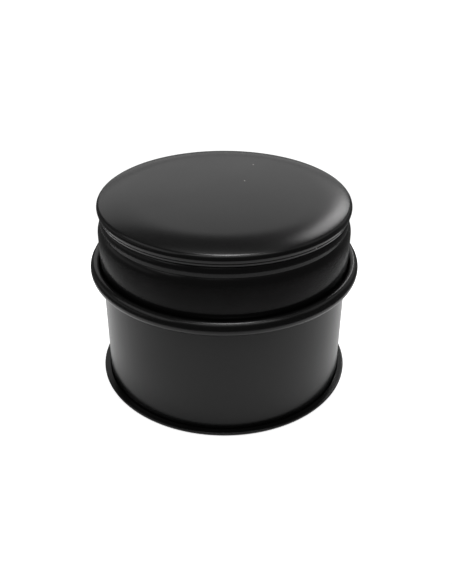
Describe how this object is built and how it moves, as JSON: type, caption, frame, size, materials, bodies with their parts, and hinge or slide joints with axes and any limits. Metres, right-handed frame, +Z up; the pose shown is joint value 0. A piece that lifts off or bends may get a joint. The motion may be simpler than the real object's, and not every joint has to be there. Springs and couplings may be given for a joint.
{
  "type": "rosin cake",
  "caption": "Round black metal tin with a domed slip-over lid; lifts open to show a cast cake of bow rosin seated in a gathered cloth and a foam nest.",
  "frame": {"origin": "centre of the tin's foot, on the plane that it stands on", "axes": "+Z up along the tin's axis, towards the lid; the tin is round, so +X and -Y (towards the viewer) are free choices"},
  "size_m": [0.064, 0.064, 0.0476],
  "materials": {
    "black_lacquer": "satin",
    "liner_foam": "matte",
    "black_foam": "matte",
    "wine_cloth": "matte",
    "amber_rosin": "gloss"
  },
  "bodies": {
    "tin": {"tin_wall": "black_lacquer", "tin_bottom": "black_lacquer", "foam_floor": "black_foam", "foam_ring": "black_foam"},
    "lid": {"lid_shell": "black_lacquer", "lid_liner": "liner_foam"},
    "cake": {"rosin_cake": "amber_rosin", "rosin_cloth": "wine_cloth"}
  },
  "joints": [
    {"name": "lid_lift", "type": "slide", "parent": "tin", "child": "lid", "axis": [0, 0, 1], "range_m": [0, 0.06]},
    {"name": "cake_lift", "type": "slide", "parent": "tin", "child": "cake", "axis": [0, 0, 1], "range_m": [0, 0.03]}
  ],
  "couplings": [
    {"joint": "cake_lift", "follows": "lid_lift", "ratio": 0.5}
  ]
}
